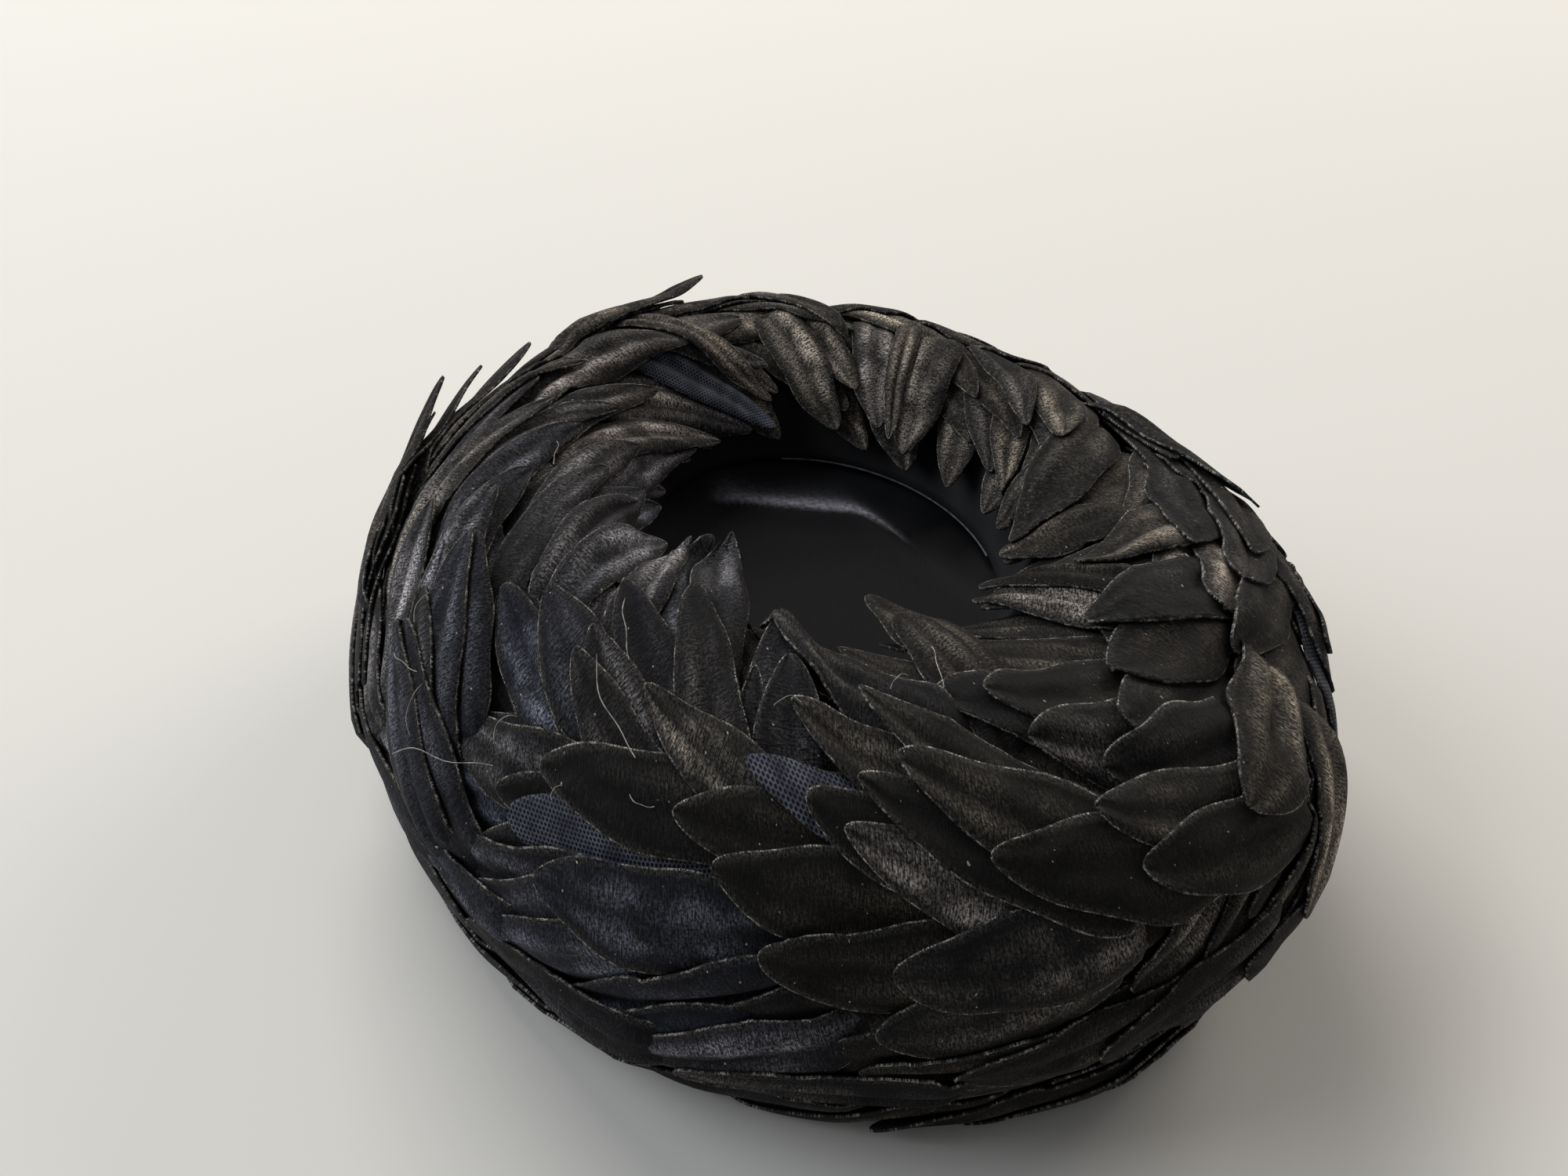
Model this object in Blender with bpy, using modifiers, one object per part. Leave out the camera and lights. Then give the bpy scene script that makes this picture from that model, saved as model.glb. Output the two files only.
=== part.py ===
"""A velvet petal half hat: an oval rolled crown, a sunken velvet tip, and rows of overlapping petals.

Metres, +Z up. The hat rests on its rim on the plane z = 0, the origin is below its middle, and its
long axis lies along Y with the front at -Y. The petals swirl clockwise, seen from above. Each row is
sewn to a narrow tape that goes round the crown. A row further out lies on the row further in.

Every piece is laid out on a round hat first. shape_hat then makes the oval and sets the hollow back.
"""

import math
from collections import namedtuple

import bpy
import numpy as np

MM = 0.001

# From the round hat to the oval one. The hollow in its top is set back from the middle.
SCALE_X = 0.953
SCALE_Y = 1.049
SET_BACK = 13 * MM
SET_BACK_FROM = 100 * MM
SET_BACK_WHOLE = 45 * MM

# The crown is a roll: a ring, open below, whose section is part of an ellipse.
ROLL_RADIUS = 65 * MM
ROLL_HALF_WIDTH = 30 * MM
ROLL_HALF_HEIGHT = 37 * MM
HEM_HEIGHT = 3 * MM
RIM_ANGLE = math.radians(-50)
LIP_ANGLE = math.radians(150)
ROLL_HEIGHT = HEM_HEIGHT - ROLL_HALF_HEIGHT * math.sin(RIM_ANGLE)
CROWN_WALL = 2 * MM
CROWN_STEPS = 30
ROLL_ARC_POINTS = 10

# The tip is a soft dish of velvet under the crown's inner lip.
TIP_RADIUS = 43 * MM
TIP_WALL = 1.8 * MM
TIP_BELOW_LIP = 1.35 * MM
TIP_DISH_DEPTH = 4 * MM
TIP_RING_SHARES = (0.0, 0.45, 0.8, 1.0)
FOLD_HEIGHT = 2.4 * MM
FOLD_HALF_WIDTH = 11 * MM
FOLD_DIRECTION = math.radians(-38)

# A petal, before a row's own sizes.
PETAL_THICKNESS = 1.0 * MM
PETAL_STATIONS = (0.0, 0.3, 0.7, 1.0)
PETAL_OUTLINE = (0.25, 0.86, 0.9, 0.1)
PETAL_ACROSS = (-1.0, 0.0, 1.0)
PETAL_ARCH = 0.5 * MM
BASE_SHARE = 0.3
BASE_HEIGHT = 1.6 * MM
OUTER_EDGE_HEIGHT = 1.85 * MM
RISE_ROUND = 0.07

# The tape under each row, and the curve over the crown that the rows are measured along.
TAPE_HALF_WIDTH = 2.5 * MM
TAPE_BOTTOM = 0.35 * MM
TAPE_TOP = 1.8 * MM
GUIDE_END_ANGLE = math.radians(120)
GUIDE_REACH = 40 * MM
GUIDE_POINTS = 241
GUIDE_STEP = 0.5 * MM

PetalRow = namedtuple("PetalRow", "name count up_roll turn_in length width rise_in first_place")

# up_roll is the distance from the rim to the tape, and turn_in is the petals' turn from round the
# crown towards its hollow, in degrees. rise_in is how much a petal climbs on its way inwards.
PETAL_ROWS = (
    PetalRow("petals_rim", 20, 8 * MM, 2, 58 * MM, 18.0 * MM, 0.27, 0.0),
    PetalRow("petals_lower_side", 20, 20.5 * MM, 7, 58 * MM, 18.0 * MM, 0.27, 0.45),
    PetalRow("petals_side", 20, 34 * MM, 13, 57 * MM, 18.0 * MM, 0.27, 0.9),
    PetalRow("petals_upper_side", 19, 47.5 * MM, 20, 55 * MM, 17.5 * MM, 0.27, 0.35),
    PetalRow("petals_shoulder", 17, 60 * MM, 31, 52 * MM, 17.0 * MM, 0.25, 0.8),
    PetalRow("petals_crest", 15, 71.5 * MM, 48, 46 * MM, 16.0 * MM, 0.22, 0.25),
    PetalRow("petals_inner", 13, 83 * MM, 68, 38 * MM, 15.5 * MM, 0.14, 0.7),
)

PETAL_COLOUR = (0.018, 0.015, 0.014, 1)
CROWN_COLOUR = (0.012, 0.011, 0.012, 1)
TIP_COLOUR = (0.006, 0.006, 0.008, 1)


def clear_scene():
    for found in list(bpy.data.objects):
        bpy.data.objects.remove(found)


def make_collection(name):
    collection = bpy.data.collections.new(name)
    bpy.context.scene.collection.children.link(collection)
    return collection


def make_material(name, colour, roughness):
    material = bpy.data.materials.new(name)
    material.use_nodes = True
    shader = material.node_tree.nodes["Principled BSDF"]
    shader.inputs["Base Color"].default_value = colour
    shader.inputs["Roughness"].default_value = roughness
    shader.inputs["Sheen Weight"].default_value = 1.0
    return material


def make_object(name, mesh, material, collection):
    made = bpy.data.objects.new(name, mesh)
    mesh.materials.append(material)
    collection.objects.link(made)
    return made


def make_mesh(name, points, faces, edges=()):
    mesh = bpy.data.meshes.new(name)
    mesh.from_pydata([tuple(p) for p in points], list(edges), list(faces))
    mesh.validate()
    return mesh


def thicken(made, thickness, even):
    """Gives an open surface its wall, on the side away from its face normals."""
    wall = made.modifiers.new("wall", "SOLIDIFY")
    wall.thickness = thickness
    wall.offset = -1
    wall.use_even_offset = even


def roll_point(angle):
    """Radius and height on the crown's section."""
    return (
        ROLL_RADIUS + ROLL_HALF_WIDTH * math.cos(angle),
        ROLL_HEIGHT + ROLL_HALF_HEIGHT * math.sin(angle),
    )


def shape_hat(points):
    """Takes points of the round hat to the oval one with its hollow set back."""
    points = np.array(points, dtype=float)
    radius = np.hypot(points[..., 0], points[..., 1])
    share = np.clip((SET_BACK_FROM - radius) / (SET_BACK_FROM - SET_BACK_WHOLE), 0, 1)
    points[..., 0] = SCALE_X * points[..., 0]
    points[..., 1] = SCALE_Y * points[..., 1] + SET_BACK * share
    return points


def turn_section(name, section, collection, closed=False, lift=None):
    """Turns a section of radii and heights with Screw, then shapes it to the hat."""
    edges = [(i, i + 1) for i in range(len(section) - 1)]
    if closed:
        edges.append((len(section) - 1, 0))
    profile = make_mesh(name, [(r, 0, z) for r, z in section], (), edges)
    turned = bpy.data.objects.new(name, profile)
    collection.objects.link(turned)
    screw = turned.modifiers.new("turn", "SCREW")
    screw.steps = screw.render_steps = CROWN_STEPS
    screw.use_merge_vertices = True
    screw.merge_threshold = 0.00005
    graph = bpy.context.evaluated_depsgraph_get()
    surface = bpy.data.meshes.new_from_object(turned.evaluated_get(graph))
    bpy.data.objects.remove(turned)
    surface.name = name
    points = np.array([vertex.co for vertex in surface.vertices])
    if lift is not None:
        points[:, 2] += lift(points[:, 0], points[:, 1])
    surface.vertices.foreach_set("co", shape_hat(points).ravel())
    surface.update()
    return surface


def make_crown_shell(material, collection):
    """The roll from its inner lip over the crest and down to the hem, with its wall."""
    arc = [roll_point(a) for a in np.linspace(LIP_ANGLE, RIM_ANGLE, ROLL_ARC_POINTS)]
    section = arc + [(arc[-1][0], 0.0)]
    shell = make_object(
        "crown_shell", turn_section("crown_shell", section, collection), material, collection
    )
    thicken(shell, CROWN_WALL, even=True)
    return shell


def tip_fold(x, y):
    """How far one soft fold lifts the tip's velvet, down to nothing at its edge."""
    off_fold = y * math.cos(FOLD_DIRECTION) - x * math.sin(FOLD_DIRECTION)
    towards_edge = np.clip(1 - (x**2 + y**2) / TIP_RADIUS**2, 0, 1)
    return FOLD_HEIGHT * np.exp(-((off_fold / FOLD_HALF_WIDTH) ** 2)) * towards_edge


def make_crown_tip(material, collection):
    """A shallow dish with a fold, its wall added below."""
    edge = roll_point(LIP_ANGLE)[1] - TIP_BELOW_LIP
    section = [
        (TIP_RADIUS * share, edge - TIP_DISH_DEPTH * (1 - share**2)) for share in TIP_RING_SHARES
    ]
    surface = turn_section("crown_tip", section, collection, lift=tip_fold)
    tip = make_object("crown_tip", surface, material, collection)
    thicken(tip, TIP_WALL, even=False)
    return tip


def guide_curve():
    """Distance, radius and height along the crown from its rim, and straight on past the crest."""
    angles = np.linspace(RIM_ANGLE, GUIDE_END_ANGLE, GUIDE_POINTS)
    radius = ROLL_RADIUS + ROLL_HALF_WIDTH * np.cos(angles)
    height = ROLL_HEIGHT + ROLL_HALF_HEIGHT * np.sin(angles)
    heading = np.array([radius[-1] - radius[-2], height[-1] - height[-2]])
    heading = heading / np.linalg.norm(heading)
    radius = np.append(radius, radius[-1] + heading[0] * GUIDE_REACH)
    height = np.append(height, height[-1] + heading[1] * GUIDE_REACH)
    distance = np.concatenate([[0], np.cumsum(np.hypot(np.diff(radius), np.diff(height)))])
    return distance, radius, height


GUIDE = guide_curve()


def section_over_crown(distance, height):
    """Radius and level of places this far up the roll and this high over it."""
    distance = np.asarray(distance, dtype=float)
    radius = np.interp(distance, GUIDE[0], GUIDE[1])
    level = np.interp(distance, GUIDE[0], GUIDE[2])
    radius_ahead = np.interp(distance + GUIDE_STEP, GUIDE[0], GUIDE[1]) - radius
    level_ahead = np.interp(distance + GUIDE_STEP, GUIDE[0], GUIDE[2]) - level
    ahead = np.hypot(radius_ahead, level_ahead)
    return radius + height * level_ahead / ahead, level - height * radius_ahead / ahead


def petal_grid(row, bearing):
    """A petal's upper face as an open grid of points, stations along it by places across it."""
    share, across = np.meshgrid(PETAL_STATIONS, PETAL_ACROSS, indexing="ij")
    turn = math.radians(row.turn_in)
    half_width = row.width / 2
    ahead = share * row.length
    aside = across * half_width * np.interp(share, PETAL_STATIONS, PETAL_OUTLINE)
    forward = ahead * math.cos(turn) - aside * math.sin(turn)
    inward = ahead * math.sin(turn) + aside * math.cos(turn)
    laid = np.clip(share / BASE_SHARE, 0, 1)
    climb = row.rise_in * (inward + half_width * math.cos(turn)) + RISE_ROUND * forward
    plane = OUTER_EDGE_HEIGHT + climb + PETAL_ARCH * (1 - across**2)
    height = laid * plane + (1 - laid) * BASE_HEIGHT
    distance = row.up_roll + inward
    angle = bearing - forward / np.interp(distance, GUIDE[0], GUIDE[1])
    radius, level = section_over_crown(distance, height)
    return shape_hat(np.stack([radius * np.cos(angle), radius * np.sin(angle), level], axis=-1))


def make_petal(name, grid, material, collection):
    """An open petal surface with its wall added below, kept as a helper for its row's union."""
    stations, places = grid.shape[:2]
    faces = [
        (a * places + b, a * places + b + 1, (a + 1) * places + b + 1, (a + 1) * places + b)
        for a in range(stations - 1)
        for b in range(places - 1)
    ]
    mesh = make_mesh(name, grid.reshape(-1, 3), faces)
    petal = make_object(name, mesh, material, collection)
    thicken(petal, PETAL_THICKNESS, even=False)
    petal.hide_render = True
    petal.display_type = "WIRE"
    return petal


def make_tape(row, material, collection):
    """The tape that carries a row: a flat strip closed round the crown."""
    corners = (
        (TAPE_HALF_WIDTH, TAPE_TOP),
        (-TAPE_HALF_WIDTH, TAPE_TOP),
        (-TAPE_HALF_WIDTH, TAPE_BOTTOM),
        (TAPE_HALF_WIDTH, TAPE_BOTTOM),
    )
    section = [section_over_crown(row.up_roll + side, top) for side, top in corners]
    surface = turn_section(row.name, section, collection, closed=True)
    return make_object(row.name, surface, material, collection)


def make_petal_row(row, material, collection):
    """One row: its tape joined with all its petals."""
    tape = make_tape(row, material, collection)
    petals = make_collection(row.name + "_cutters")
    petals.hide_render = True
    for number in range(row.count):
        bearing = 2 * math.pi * (number + row.first_place) / row.count
        make_petal(f"{row.name}_{number + 1:02d}", petal_grid(row, bearing), material, petals)
    join = tape.modifiers.new("join petals", "BOOLEAN")
    join.operation = "UNION"
    join.operand_type = "COLLECTION"
    join.collection = petals
    join.solver = "EXACT"
    return tape


def main():
    clear_scene()
    hat = make_collection("petal_half_hat")
    petal_velvet = make_material("petal velvet", PETAL_COLOUR, 0.8)
    make_crown_shell(make_material("crown velvet", CROWN_COLOUR, 0.75), hat)
    make_crown_tip(make_material("tip velvet", TIP_COLOUR, 0.65), hat)
    for row in PETAL_ROWS:
        make_petal_row(row, petal_velvet, hat)


main()
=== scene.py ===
"""The velvet petal half hat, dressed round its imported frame.

Every petal is laid out on a round hat, by its bearing round the crown and its distance up the roll
from the rim, and shape_hat takes it to the oval one, as in the part's source.
"""

import math
from collections import namedtuple

import bpy
import numpy as np
from mathutils import Matrix, Vector


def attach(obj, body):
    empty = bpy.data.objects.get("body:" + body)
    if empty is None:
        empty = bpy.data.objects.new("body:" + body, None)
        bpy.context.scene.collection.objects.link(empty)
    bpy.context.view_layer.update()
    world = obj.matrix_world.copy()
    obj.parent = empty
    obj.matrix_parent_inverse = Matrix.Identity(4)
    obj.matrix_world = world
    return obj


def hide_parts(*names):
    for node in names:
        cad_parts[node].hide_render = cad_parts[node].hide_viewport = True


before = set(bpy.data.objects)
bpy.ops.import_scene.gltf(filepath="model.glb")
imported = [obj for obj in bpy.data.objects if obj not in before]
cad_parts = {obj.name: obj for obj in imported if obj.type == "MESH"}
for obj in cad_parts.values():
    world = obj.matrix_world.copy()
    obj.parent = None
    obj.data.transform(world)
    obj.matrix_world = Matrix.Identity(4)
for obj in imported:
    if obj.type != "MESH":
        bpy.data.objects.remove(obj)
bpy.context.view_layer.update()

MM = 0.001
TURN = 2 * math.pi
RNG = np.random.default_rng(1950)

# The crown, as in the part's source.
SCALE_X = 0.953
SCALE_Y = 1.049
SET_BACK = 13 * MM
SET_BACK_FROM = 100 * MM
SET_BACK_WHOLE = 45 * MM
ROLL_RADIUS = 65 * MM
ROLL_HALF_WIDTH = 30 * MM
ROLL_HALF_HEIGHT = 37 * MM
RIM_ANGLE = math.radians(-50)
LIP_ANGLE = math.radians(150)
ROLL_HEIGHT = 3 * MM - ROLL_HALF_HEIGHT * math.sin(RIM_ANGLE)
CROWN_WALL = 2 * MM
TIP_RADIUS = 43 * MM
TIP_EDGE_HEIGHT = ROLL_HEIGHT + ROLL_HALF_HEIGHT * math.sin(LIP_ANGLE) - 1.35 * MM
GUIDE_END_ANGLE = math.radians(120)
GUIDE_REACH = 40 * MM
GUIDE_POINTS = 241
SLOPE_STEP = 1.5 * MM

# A petal: its cloth, its grid, and how it lies.
CLOTH = 0.5 * MM
ALONG = 30
ACROSS = 11
SEWN_HEIGHT = 1.0 * MM
LAID_HEIGHT = 1.5 * MM
# No bearing is worked out at a smaller radius than these. The second is for middles and in mm.
LEAST_RADIUS = 20 * MM
LEAST_MIDDLE_RADIUS = 30.0

# The height map that petals are draped on, by bearing and distance up the roll.
MAP_BEARINGS = 720
MAP_STEP = 0.75 * MM
MAP_START = -12 * MM
MAP_ROWS = 200
CLEARANCE = 0.20 * MM
BARE_HEIGHT = 0.3 * MM


# Small tools.


def shape_hat(points):
    """Round hat to oval: x and y scaled, and y moved back by SET_BACK times a share that rises
    linearly from nothing at SET_BACK_FROM to one at SET_BACK_WHOLE from the axis."""
    points = np.array(points, dtype=float)
    radius = np.hypot(points[..., 0], points[..., 1])
    share = np.clip((SET_BACK_FROM - radius) / (SET_BACK_FROM - SET_BACK_WHOLE), 0, 1)
    points[..., 0] = SCALE_X * points[..., 0]
    points[..., 1] = SCALE_Y * points[..., 1] + SET_BACK * share
    return points


def guide_curve():
    """Distance, radius and height of the roll's outer side: an ellipse's arc from the rim upwards,
    then straight on inwards."""
    angles = np.linspace(RIM_ANGLE, GUIDE_END_ANGLE, GUIDE_POINTS)
    radius = ROLL_RADIUS + ROLL_HALF_WIDTH * np.cos(angles)
    height = ROLL_HEIGHT + ROLL_HALF_HEIGHT * np.sin(angles)
    heading = np.array([radius[-1] - radius[-2], height[-1] - height[-2]])
    heading = heading / np.linalg.norm(heading)
    radius = np.append(radius, radius[-1] + heading[0] * GUIDE_REACH)
    height = np.append(height, height[-1] + heading[1] * GUIDE_REACH)
    distance = np.concatenate([[0], np.cumsum(np.hypot(np.diff(radius), np.diff(height)))])
    return distance, radius, height


GUIDE = guide_curve()


def on_guide(distance):
    """Radius and height at a distance up the roll, going straight on past both ends."""
    distance = np.asarray(distance, dtype=float)
    below = np.minimum(distance, 0)
    radius = np.interp(distance, GUIDE[0], GUIDE[1])
    height = np.interp(distance, GUIDE[0], GUIDE[2])
    start = np.array([GUIDE[1][1] - GUIDE[1][0], GUIDE[2][1] - GUIDE[2][0]])
    start = start / np.linalg.norm(start)
    return radius + below * start[0], height + below * start[1]


def over_crown(bearing, distance, height):
    """Points at a bearing and a distance up the roll, moved out from it by a height, square to the
    slope between a step below and a step above."""
    radius, level = on_guide(distance)
    radius_on, level_on = on_guide(np.asarray(distance) + SLOPE_STEP)
    radius_back, level_back = on_guide(np.asarray(distance) - SLOPE_STEP)
    run, rise = radius_on - radius_back, level_on - level_back
    length = np.hypot(run, rise)
    radius = radius + height * rise / length
    level = level - height * run / length
    return shape_hat(np.stack([radius * np.cos(bearing), radius * np.sin(bearing), level], axis=-1))


def bearing_after(start, forward, distance):
    """The bearing in radians after going forward, clockwise, from a start in degrees: less the way
    gone over the radius at that distance up the roll."""
    return math.radians(start) - forward / np.maximum(on_guide(distance)[0], LEAST_RADIUS)


def grid_faces(rows, columns, start=0, closed=False):
    """Quads of a grid of rows by columns of points, with its columns joined up if closed."""
    first = np.arange(rows - 1)[:, None] * columns
    last = columns if closed else columns - 1
    here = np.arange(last)[None, :]
    there = (here + 1) % columns
    quads = np.stack(
        [first + here, first + there, first + columns + there, first + columns + here], axis=-1
    )
    return quads.reshape(-1, 4) + start


def add_object(name, data):
    """A new object, put into the scene."""
    made = bpy.data.objects.new(name, data)
    bpy.context.scene.collection.objects.link(made)
    return made


def make_piece(name, points, faces, materials, face_slots=None, uv=None, values=None):
    """One piece that rides on the hat, from an array of points and a list of faces. uv and the named
    values are for every point."""
    mesh = bpy.data.meshes.new(name)
    mesh.from_pydata(points.reshape(-1, 3).tolist(), [], faces)
    mesh.polygons.foreach_set("use_smooth", np.ones(len(mesh.polygons), dtype=bool))
    for material in materials:
        mesh.materials.append(material)
    if face_slots is not None:
        mesh.polygons.foreach_set("material_index", np.asarray(face_slots, dtype=np.int32))
    if uv is not None:
        layer = mesh.uv_layers.new(name="cloth")
        corners = np.zeros(len(mesh.loops), dtype=np.int32)
        mesh.loops.foreach_get("vertex_index", corners)
        layer.data.foreach_set("uv", uv.reshape(-1, 2)[corners].astype(np.float32).ravel())
    for key, value in (values or {}).items():
        layer = mesh.attributes.new(key, "FLOAT", "POINT")
        layer.data.foreach_set("value", value.astype(np.float32).ravel())
    mesh.update()
    piece = add_object(name, mesh)
    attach(piece, "root")
    return piece


def thicken(piece, name, thickness, offset):
    """A wall of a thickness, about the surface at offset 0 or behind it at -1."""
    wall = piece.modifiers.new(name, "SOLIDIFY")
    wall.thickness = thickness
    wall.offset = offset
    return wall


# Materials.


class Nodes:
    """A short way to build a material's node tree."""

    def __init__(self, name):
        self.material = bpy.data.materials.new(name)
        self.material.use_nodes = True
        self.tree = self.material.node_tree
        self.shader = self.tree.nodes["Principled BSDF"]

    def add(self, kind, inputs=None, **settings):
        node = self.tree.nodes.new(kind)
        for key, value in settings.items():
            setattr(node, key, value)
        for key, value in (inputs or {}).items():
            self.put(node.inputs[key], value)
        return node

    def put(self, socket, value):
        if isinstance(value, bpy.types.NodeSocket):
            self.tree.links.new(value, socket)
        else:
            socket.default_value = value

    def value(self, name):
        return self.add("ShaderNodeAttribute", attribute_name=name).outputs["Fac"]

    def math(self, operation, a, b=0.0, c=0.0):
        return self.add("ShaderNodeMath", {0: a, 1: b, 2: c}, operation=operation).outputs[0]

    def remap(self, value, low, high, to_low=0.0, to_high=1.0):
        ends = {"From Min": low, "From Max": high, "To Min": to_low, "To Max": to_high}
        return self.add("ShaderNodeMapRange", {"Value": value, **ends}).outputs["Result"]

    def mix(self, share, a, b):
        node = self.add("ShaderNodeMix", data_type="RGBA")
        self.put(node.inputs["Factor"], share)
        self.put(node.inputs[6], a)
        self.put(node.inputs[7], b)
        return node.outputs[2]

    def times(self, a, b):
        return self.math("MULTIPLY", a, b)

    def noise(self, vector, scale, detail=3.0, rough=0.55):
        inputs = {"Vector": vector, "Scale": scale, "Detail": detail, "Roughness": rough}
        return self.add("ShaderNodeTexNoise", inputs).outputs["Fac"]

    def streaks(self, vector, scales, detail, rough):
        """Noise drawn out by its own scale each way."""
        drawn = self.add("ShaderNodeMapping", {"Vector": vector, "Scale": (*scales, 1.0)})
        return self.noise(drawn.outputs[0], 1.0, detail, rough)

    def cloth(self):
        return self.add("ShaderNodeUVMap", uv_map="cloth").outputs[0]

    def place(self):
        return self.add("ShaderNodeTexCoord").outputs["Object"]

    def bump(self, height, strength, distance):
        inputs = {"Height": height, "Strength": strength, "Distance": distance}
        return self.add("ShaderNodeBump", inputs).outputs["Normal"]

    def finish(self, **sockets):
        for key, value in sockets.items():
            self.put(self.shader.inputs[key.replace("_", " ")], value)
        return self.material


def petal_velvet():
    """Crushed black velvet. Its pile is mottled all over and brushed in short strokes across the
    petal. Light and shade are painted into its colour: bands of painted highlight where the
    painted highlight attribute is high, a mottle that shows more where more light is painted, and
    lengthwise folds painted lighter on their ridges and darker in their troughs. It pales towards
    the cut edge, where fine broken fibres show."""
    n = Nodes("petal velvet")
    cloth = n.cloth()
    tone = n.value("tone")
    painted_highlight = n.value("painted_highlight")
    edge = n.value("from_edge")
    strokes = n.streaks(cloth, (6.0, 40.0), 4.0, 0.62)
    grain = n.noise(cloth, 22.0, 3.0, 0.7)
    mottle = n.streaks(cloth, (8.0, 10.0), 3.0, 0.62)
    blots = n.streaks(cloth, (2.0, 1.1), 2.0, 0.5)
    fine = n.remap(grain, 0.41, 0.59, 0.08, 1.1)
    brushed = n.times(n.remap(strokes, 0.40, 0.56, 0.10, 1.0), fine)
    # Painted highlight: patches where the painted highlight attribute is high, brushed by the strokes.
    painted_highlight_patches = n.times(painted_highlight, n.remap(blots, 0.38, 0.56, 0.2, 1.0))
    painted_shine = n.times(painted_highlight_patches, brushed)
    wander = n.times(n.streaks(cloth, (0.5, 0.7), 1.0, 0.4), 12.0)
    fold = n.math("SINE", n.math("MULTIPLY_ADD", n.value("side"), 5.5, wander))
    # The folds are painted into the colour, lighter on their ridges and painted shade in their
    # troughs; the mottle is scaled by painted light.
    faint = n.times(n.remap(mottle, 0.44, 0.64), n.remap(fold, -1.0, 1.0, 0.4, 1.15))
    faint = n.times(faint, fine)
    faint = n.times(faint, n.value("mottle_and_painted_light"))
    ground = n.mix(tone, (0.0064, 0.0059, 0.0054, 1), (0.0052, 0.0058, 0.0084, 1))
    # The mottle's pale colour, reached where most light is painted on it, and the painted highlight
    # colour, warm or cool by tone; the base goes from the ground through both.
    worn_and_painted_light = n.mix(tone, (0.085, 0.074, 0.062, 1), (0.056, 0.063, 0.092, 1))
    painted_highlight_colour = n.mix(tone, (0.88, 0.74, 0.58, 1), (0.55, 0.60, 0.80, 1))
    base = n.mix(painted_shine, n.mix(faint, ground, worn_and_painted_light), painted_highlight_colour)
    fuzz = n.times(n.remap(edge, 1.3, 0.1), n.remap(grain, 0.44, 0.62, 0.0, 0.6))
    base = n.mix(fuzz, base, (0.11, 0.10, 0.088, 1))
    frayed = n.noise(cloth, 34.0, 3.0, 0.7)
    patchy = n.noise(cloth, 5.0, 3.0, 0.5)
    fringe = n.times(n.remap(edge, 0.26, 0.12), n.remap(frayed, 0.46, 0.57))
    fringe = n.times(fringe, n.remap(patchy, 0.44, 0.60, 0.06, 1.15))
    base = n.mix(fringe, base, (0.46, 0.43, 0.38, 1))
    lint = n.remap(n.streaks(cloth, (12.0, 13.0), 1.0, 0.4), 0.765, 0.79)
    base = n.mix(lint, base, (0.38, 0.35, 0.30, 1))
    raised = n.math("ADD", n.times(strokes, 0.6), n.times(grain, 0.4))
    raised = n.math("MULTIPLY_ADD", fold, 0.35, raised)
    return n.finish(
        Base_Color=base,
        Roughness=n.remap(painted_shine, 0.0, 0.8, 0.62, 0.42),
        Specular_IOR_Level=0.06,
        Sheen_Weight=0.03,
        Sheen_Roughness=0.35,
        Sheen_Tint=(0.62, 0.60, 0.60, 1),
        Normal=n.bump(raised, 0.8, 0.0012),
    )


# Turns of the net's waves, in radians to a centimetre.
NET_PITCH = 98.0


def net_backing():
    """The stiff net on a petal's underside: fine six-sided cells of pale thread over dark cloth."""
    n = Nodes("net backing")
    cloth = n.cloth()
    split = n.add("ShaderNodeSeparateXYZ", {0: cloth}).outputs
    across = n.times(split[0], NET_PITCH)
    along = n.times(split[1], NET_PITCH)
    lean = n.times(along, 0.866)
    half = n.times(across, 0.5)
    waves = [
        n.math("COSINE", across),
        n.math("COSINE", n.math("ADD", half, lean)),
        n.math("COSINE", n.math("SUBTRACT", half, lean)),
    ]
    cells = n.math("ADD", n.math("ADD", waves[0], waves[1]), waves[2])
    thread = n.remap(cells, 0.9, -0.6)
    worn_and_painted_light = n.noise(cloth, 3.0, 2.0)
    pale = n.mix(n.remap(worn_and_painted_light, 0.35, 0.65), (0.025, 0.028, 0.040, 1), (0.088, 0.096, 0.122, 1))
    return n.finish(
        Base_Color=n.mix(thread, (0.004, 0.004, 0.007, 1), pale),
        Roughness=0.6,
        Specular_IOR_Level=0.15,
        Normal=n.bump(thread, 0.9, 0.0004),
    )


def cut_edge():
    """A petal's cut edge: pale broken fibres over the dark pile."""
    n = Nodes("cut edge")
    cloth = n.cloth()
    fibres = n.noise(cloth, 26.0, 3.0, 0.7)
    worn_and_painted_light = n.noise(cloth, 5.0, 3.0)
    pale = n.times(n.remap(fibres, 0.47, 0.60), n.remap(worn_and_painted_light, 0.44, 0.60, 0.06, 1.0))
    return n.finish(
        Base_Color=n.mix(pale, (0.012, 0.011, 0.010, 1), (0.42, 0.39, 0.34, 1)),
        Roughness=0.85,
        Specular_IOR_Level=0.2,
        Normal=n.bump(fibres, 0.6, 0.0004),
    )


def crown_velvet():
    """Smooth black velvet on Object coordinates: an even fine pile with faint soft patches."""
    n = Nodes("crown velvet")
    place = n.place()
    patches = n.noise(place, 50.0, 2.0)
    pile = n.noise(place, 2600.0, 2.0, 0.6)
    dark, light = (0.0110, 0.0112, 0.0120, 1), (0.0170, 0.0168, 0.0172, 1)
    return n.finish(
        Base_Color=n.mix(n.remap(patches, 0.35, 0.7), dark, light),
        Roughness=n.remap(patches, 0.3, 0.7, 0.6, 0.45),
        Specular_IOR_Level=0.05,
        Sheen_Weight=0.02,
        Sheen_Roughness=0.3,
        Sheen_Tint=(0.5, 0.48, 0.56, 1),
        Normal=n.bump(pile, 0.25, 0.0003),
    )


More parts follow.
